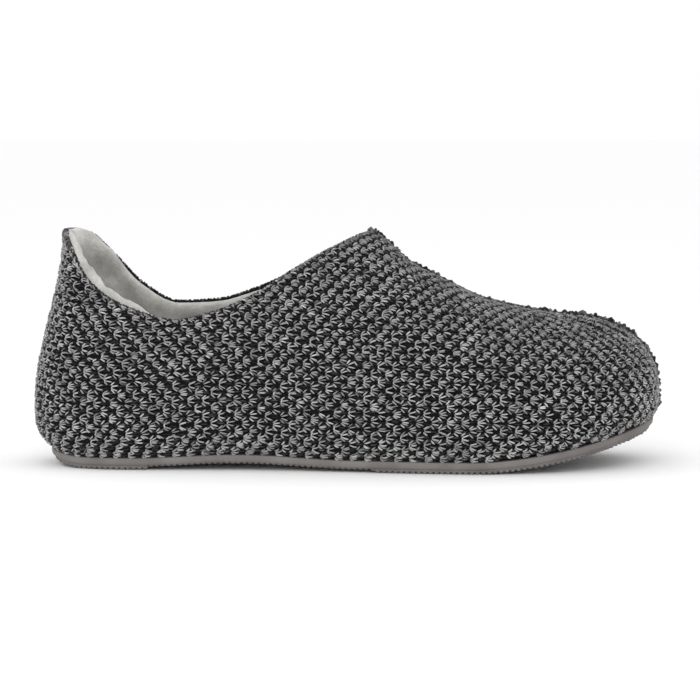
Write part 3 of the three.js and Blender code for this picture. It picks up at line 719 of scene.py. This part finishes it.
# No faces over the ridge, where the two sides of the lining meet.
on_ridge = np.abs(sheet_w) > THROAT - 1e-6
over_edge = np.arange(faces.shape[1]) - outside.shape[1] + 1
over_edge = (over_edge >= 0) & (over_edge <= over.shape[1])
faces = faces[~(on_ridge[:-1, None] & on_ridge[1:, None] & over_edge[None])]
lining_piece = make_piece("fleece_lining", strip, [faces], fleece, "fleece")
merge_and_turn_out(lining_piece, 0.05 * MM)


# The collar's hem: the knit's edge turned in and whipped over, a thin cord that is thick at the heel's tab.
HEM_RADIUS, TAB_EXTRA, TAB_SPREAD = 0.75, 0.95, 0.075
HEM_POINTS, HEM_SIDES = 361, 10
hem_w = np.linspace(-THROAT, THROAT, HEM_POINTS)
rim = on_grid(SKIN, hem_w, np.ones(HEM_POINTS))
rim_normal = unit(on_grid(NORMAL, hem_w, np.ones(HEM_POINTS)))
rim_up = unit(on_grid(ACROSS, hem_w, np.full(HEM_POINTS, 0.99)))
hem_radius = HEM_RADIUS + TAB_EXTRA * np.exp(-((hem_w / TAB_SPREAD) ** 2)) + 0.1 * soft_noise(rim, 4, 8)
# The tab's extra thickness goes inwards and down, so that it stays under the fleece.
tab = (hem_radius - HEM_RADIUS)[:, None]
hem_centre = rim - rim_normal * (HEM_RADIUS - 0.15 + 1.1 * tab) + rim_up * (0.1 - 0.9 * tab)
turn = np.append(np.arange(HEM_SIDES), 0) / HEM_SIDES * 2 * np.pi
tube = hem_centre[:, None] + hem_radius[:, None, None] * (
    np.cos(turn)[None, :, None] * rim_normal[:, None] + np.sin(turn)[None, :, None] * rim_up[:, None])
first_ring = np.arange(HEM_SIDES)[None]
ends = [first_ring, first_ring + (len(tube) - 1) * tube.shape[1]]
# The cord takes the ground's charcoal with painted shade.
hem = make_piece("collar_hem", tube, [grid_faces(*tube.shape[:2]), *ends], knit_ground, "knit")
merge_and_turn_out(hem)
# How far the middle of a stitch stands off the cord's skin, from its hidden root to its hidden end.
STITCH_HEIGHT = np.array([-0.25, 0.12, 0.2, 0.12, -0.25])


def hem_stitches(pitch, from_angle, to_angle, slant, radius, tone, only=None):
    """Short plies over the hem's cord, from an angle outside to an angle inside, slanted along it."""
    run = run_of(np.diff(rim, axis=0))
    place = np.arange(pitch / 2, run[-1], pitch)
    place = place + rng.normal(0, pitch * 0.2, len(place))
    if only is not None:
        at = np.interp(place, run, hem_w)
        place = place[(at > only[0]) & (at < only[1])]
    count = len(place)
    at = place[:, None] + slant * (STEPS - 0.5) + rng.normal(0, 0.2, (count, 1)) * (STEPS - 0.5)
    angle = np.radians(from_angle + (to_angle - from_angle) * STEPS + rng.normal(0, 8, (count, 1)))
    out = unit(point_at(at, run, rim_normal) * np.cos(angle)[..., None]
               + point_at(at, run, rim_up) * np.sin(angle)[..., None])
    reach = np.interp(at, run, hem_radius) + STITCH_HEIGHT
    tones = np.clip(tone + rng.normal(0, 0.16, count), 0, 1)
    path = point_at(at, run, hem_centre) + out * reach[..., None]
    return path, out, np.tile(radius * THICKNESS, (count, 1)), tones


# Whipping all round, denser at the tab, and long stitches where the hem meets the seam.
parts = [
    hem_stitches(1.7, -20, 120, 1.6, 0.42, 0.3),
    hem_stitches(2.3, 30, 190, -1.4, 0.4, 0.24),
    hem_stitches(2.2, -70, 50, 1.8, 0.4, 0.45),
    hem_stitches(1.4, 0, 190, 1.2, 0.45, 0.5, only=(-0.11, 0.11)),
    hem_stitches(3.0, 60, 95, 5.0, 0.45, 0.6, only=(-0.55, -0.42)),
    hem_stitches(3.0, 95, 60, 5.0, 0.45, 0.6, only=(0.42, 0.55)),
]
stitches = (np.concatenate(part) for part in zip(*parts))
strand_piece("collar_whipping", *stitches, melange_yarn, "knit", sides=5)


# The seam on the vamp: knots of dark yarn over the ridge, from the throat over the toe to the sole.
# Three kinds of knot: half-width, height, thickness, pitch along the seam and unevenness of the pitch.
KNOTS = ((2.9, 0.8, 0.58, 1.2, 0.5), (1.9, 1.5, 0.8, 4.4, 1.0), (2.3, 1.2, 0.7, 2.4, 0.8))
KNOT_ARCH = np.array([-0.8, 0.55, 1.0, 0.55, -0.8])


def seam_places():
    """The seam's line with its length so far, and the directions out from the skin and along it."""
    at = np.linspace(THROAT, 1, 400)
    top = np.stack([at, np.ones(400)], axis=-1)
    front = np.stack([np.ones(200), np.linspace(1, 0.03, 200)], axis=-1)
    path = np.concatenate([top, front[1:]])
    line = on_grid(SKIN, path[:, 0], path[:, 1])
    normal = unit(on_grid(NORMAL, path[:, 0], path[:, 1]))
    return run_of(np.diff(line, axis=0)), line, normal, unit(np.gradient(line, axis=0))


def seam_knots(wide, high, thick, pitch, jitter):
    run, *guides = seam_places()
    place = np.arange(0.6, run[-1] - 0.5, pitch)
    place = place + rng.normal(0, jitter, len(place))
    line, out, along = (point_at(place, run, guide)[:, None] for guide in guides)
    across = unit(np.cross(out, along))
    count = len(place)
    lean = rng.normal(0, 2.6, count)[:, None] * (STEPS - 0.5)
    width = (wide + rng.normal(0, 0.5, count))[:, None] * 2 * (STEPS - 0.5)
    height = (high + rng.normal(0, 0.3, count))[:, None] * KNOT_ARCH
    path = line + across * width[..., None] + out * height[..., None] + along * lean[..., None]
    radius = thick * (1 + rng.normal(0, 0.15, count))[:, None] * THICKNESS
    return path, np.repeat(out, len(STEPS), axis=1), radius, np.clip(0.5 + rng.normal(0, 0.3, count), 0, 1)


knots = (np.concatenate(part) for part in zip(*(seam_knots(*kind) for kind in KNOTS)))
seam = strand_piece("vamp_seam_knots", *knots, seam_yarn, "seam_yarn", sides=6)
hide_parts("vamp_seam")


# The sole: a plate with a soft-edged side band, and pads set with small round nubs.
SOLE_STATIONS, PAD_STATIONS, EDGE_STATIONS = 160, 60, 2000
# Out from the edge and up from the plate's underside, from the top's rim round to the bottom.
BAND = (
    (-1.0, 3.2), (0.25, 3.2), (0.52, 3.05), (0.6, 2.7), (0.6, 1.5), (0.45, 0.75), (0.1, 0.25), (-0.5, 0.0),
)
# The pads start and end at these shares of the sole's length.
HEEL_PAD, FOREFOOT_PAD = (0.0, 0.165), (0.53, 0.99)
PAD_INSET, PAD_DEPTH, PAD_SINK, PAD_CHAMFER = 0.6, 0.9, 0.8, 0.4
NUB_PITCH, EDGE_PITCH, NUB_INSET, STUD_HEIGHT = 2.4, 2.45, 3.0, 1.0


def sole_ring(profile, at):
    """A ring of points round the shoe for each place of the profile."""
    rings = []
    for side in (OUTER, INNER):
        for out, up in profile if side == OUTER else profile[::-1]:
            edge = sole_edge(at, side, np.full_like(at, out))
            edge[..., 2] += up - PLATE_THICKNESS
            rings.append(edge)
    return np.stack(rings, axis=1)


def lofted(rings, filled=()):
    """Points and faces of a solid through closed rings, with some rings filled as its ends."""
    rows, columns = rings.shape[:2]
    points = np.concatenate([rings, rings[:, :1]], axis=1)
    ends = [np.arange(columns)[None] + row % rows * (columns + 1) for row in filled]
    return points, [grid_faces(rows, columns + 1), *ends]


points, faces = lofted(sole_ring(BAND, np.linspace(0, 1, SOLE_STATIONS + 1)))
sole = make_piece("moulded_sole", points, faces, rubber, "rubber")
merge_and_turn_out(sole)
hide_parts("outsole")
pad_profile = (
    (-PAD_INSET, PAD_SINK), (-PAD_INSET, -PAD_DEPTH * 0.6), (-PAD_INSET - PAD_CHAMFER, -PAD_DEPTH),
)
# At the heel's back end the pad closes by itself, so only its front end is filled.
for name, pad, filled in (("heel_tread_pad", HEEL_PAD, (-1,)), ("forefoot_tread_pad", FOREFOOT_PAD, (0, -1))):
    at = np.arccos(1 - 2 * np.linspace(*pad, PAD_STATIONS)) / np.pi
    points, faces = lofted(sole_ring(pad_profile, at), filled)
    merge_and_turn_out(make_piece(name, points, faces, rubber, "rubber"))


def stud_template(foot, tip, height):
    """A small round stud, modelled once at the origin, pointing down."""
    bpy.ops.mesh.primitive_cone_add(
        vertices=8, radius1=foot * MM, radius2=tip * MM, depth=height * MM, end_fill_type="TRIFAN",
        rotation=(math.pi, 0, 0))
    stud = bpy.context.object
    bpy.ops.object.transform_apply(location=True, rotation=True, scale=True)
    points = np.array([v.co[:] for v in stud.data.vertices]) / MM
    faces = [np.array([f.vertices[:] for f in stud.data.polygons if len(f.vertices) == n]) for n in (3, 4)]
    bpy.data.objects.remove(stud)
    return points, [f for f in faces if len(f)]


def edge_studs():
    """The outermost studs stand nearly flush with the pad's edge, and only just show at the waist."""
    points = []
    for side in (OUTER, INNER):
        at = np.linspace(0, 1, EDGE_STATIONS)
        run = run_of(np.diff(sole_edge(at, side, -PAD_INSET), axis=0))
        place = np.interp(np.arange(EDGE_PITCH / 2, run[-1], EDGE_PITCH), run, at)
        share = (1 - np.cos(np.pi * place)) / 2
        on_pad = (share < HEEL_PAD[1]) | (share > FOREFOOT_PAD[0])
        edge = sole_edge(place, side, np.where(on_pad, -PAD_INSET - 1.35, -PAD_INSET - 0.7))
        edge[:, 2] -= PLATE_THICKNESS + np.where(on_pad, TREAD_THICKNESS - STUD_HEIGHT / 2, -0.05)
        points.append(edge)
    return np.concatenate(points)


def nub_centres():
    """Nubs in staggered rows over both pads, standing down to the floor."""
    x, y = np.meshgrid(np.arange(6, LENGTH, NUB_PITCH * 0.866), np.arange(-60, 60, NUB_PITCH), indexing="ij")
    y = y + (np.arange(len(x)) % 2)[:, None] * NUB_PITCH / 2
    x, y = x.ravel(), y.ravel()
    share = (x - HEEL_OVERHANG) / SOLE_LENGTH
    on_pad = np.any([(share > start) & (share < end) for start, end in (HEEL_PAD, FOREFOOT_PAD)], axis=0)
    at = np.arccos(np.clip(1 - 2 * share, -1, 1)) / np.pi
    inset = PAD_INSET + NUB_INSET
    low = middle(x) - SOLE_HALF[OUTER](at) + inset
    high = middle(x) + SOLE_HALF[INNER](at) - inset
    off_ends = (share * SOLE_LENGTH > inset) & ((1 - share) * SOLE_LENGTH > inset)
    kept = on_pad & off_ends & (y > low) & (y < high)
    x, y = x[kept], y[kept]
    return np.stack([x, y, plate_under(x) - TREAD_THICKNESS + STUD_HEIGHT / 2], axis=-1)


def studs(name, template, centres):
    points, faces = template
    first = np.arange(len(centres))[:, None, None] * len(points)
    all_faces = [(part[None] + first).reshape(-1, part.shape[1]) for part in faces]
    make_piece(name, centres[:, None] + points[None], all_faces, rubber, "rubber")


studs("tread_nubs", stud_template(0.92, 0.66, STUD_HEIGHT), nub_centres())
studs("tread_edge_nubs", stud_template(1.2, 0.95, STUD_HEIGHT), edge_studs())


# The footbed: a foam pad under fleece, from a copy of its solid, rounded and slightly uneven.
VOXEL, SMOOTHINGS, SOFT_TOP = 1.6, 6, 4


def soft_footbed():
    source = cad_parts["footbed"]
    pad = bpy.data.objects.new("fleece_footbed", source.data.copy())
    bpy.context.collection.objects.link(pad)
    pad.data.materials.clear()
    pad.data.materials.append(footbed_fleece_painted_light)
    merge_and_turn_out(pad, 0.01 * MM)
    apply_modifier(pad, "REMESH", {"mode": "VOXEL", "voxel_size": VOXEL * MM})
    apply_modifier(pad, "SMOOTH", {"factor": 0.5, "iterations": SMOOTHINGS})
    points = np.empty(len(pad.data.vertices) * 3)
    pad.data.vertices.foreach_get("co", points)
    points = points.reshape(-1, 3) / MM
    top = np.clip((points[:, 2] - points[:, 2].min()) / SOFT_TOP, 0, 1)
    points[:, 2] += top * (0.35 * soft_noise(points, 16, 5) + 0.15 * soft_noise(points, 5, 6))
    pad.data.vertices.foreach_set("co", (points * MM).ravel())
    pad.data.update()
    pad.data.polygons.foreach_set("use_smooth", np.ones(len(pad.data.polygons), bool))
    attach(pad, "root")
    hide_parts("footbed")


soft_footbed()


# Floor, light and camera, in metres.
def softbox(name, place, aim, size, power):
    lamp = bpy.data.lights.new(name, "AREA")
    lamp.energy = power
    lamp.shape = "RECTANGLE"
    lamp.size, lamp.size_y = size
    holder = bpy.data.objects.new(name, lamp)
    holder.location = place
    holder.rotation_mode = "QUATERNION"
    holder.rotation_quaternion = (Vector(aim) - Vector(place)).to_track_quat("-Z", "Y")
    bpy.context.collection.objects.link(holder)


FLOOR_WIDTH, FLOOR_DROP = 40, 0.0002
bpy.ops.mesh.primitive_plane_add(size=FLOOR_WIDTH, location=(0, 0, -FLOOR_DROP))
floor = bpy.context.object
floor.name = "pale_floor"
paper, paper_shader = new_material("matt_white_backdrop_paper", roughness=0.95, specular=0.1)
paper_shader.inputs["Base Color"].default_value = linear("#fdfdfd")
floor.data.materials.append(paper)

world = bpy.data.worlds.new("studio")
bpy.context.scene.world = world
world.use_nodes = True
world.node_tree.nodes["Background"].inputs["Color"].default_value = (1, 1, 1, 1)
world.node_tree.nodes["Background"].inputs["Strength"].default_value = 1.0
softbox("overhead_softbox", place=(0.15, -0.35, 1.3), aim=(0, 0, 0.04), size=(1.4, 1.0), power=0.5)
softbox("front_softbox", place=(-0.3, -1.5, 0.6), aim=(0, 0, 0.05), size=(1.2, 0.9), power=11)

CAMERA_AWAY, CAMERA_ELEVATION = 1.245, 4.5
aim = Vector((0.0003, 0.0, 0.0478))
pitch = math.radians(CAMERA_ELEVATION)
lens = bpy.data.cameras.new("camera")
lens.lens, lens.sensor_width = 150, 36
camera = bpy.data.objects.new("camera", lens)
camera.location = aim + Vector((0, -math.cos(pitch), math.sin(pitch))) * CAMERA_AWAY
camera.rotation_mode = "QUATERNION"
camera.rotation_quaternion = (aim - camera.location).to_track_quat("-Z", "Y")
bpy.context.collection.objects.link(camera)
bpy.context.scene.camera = camera
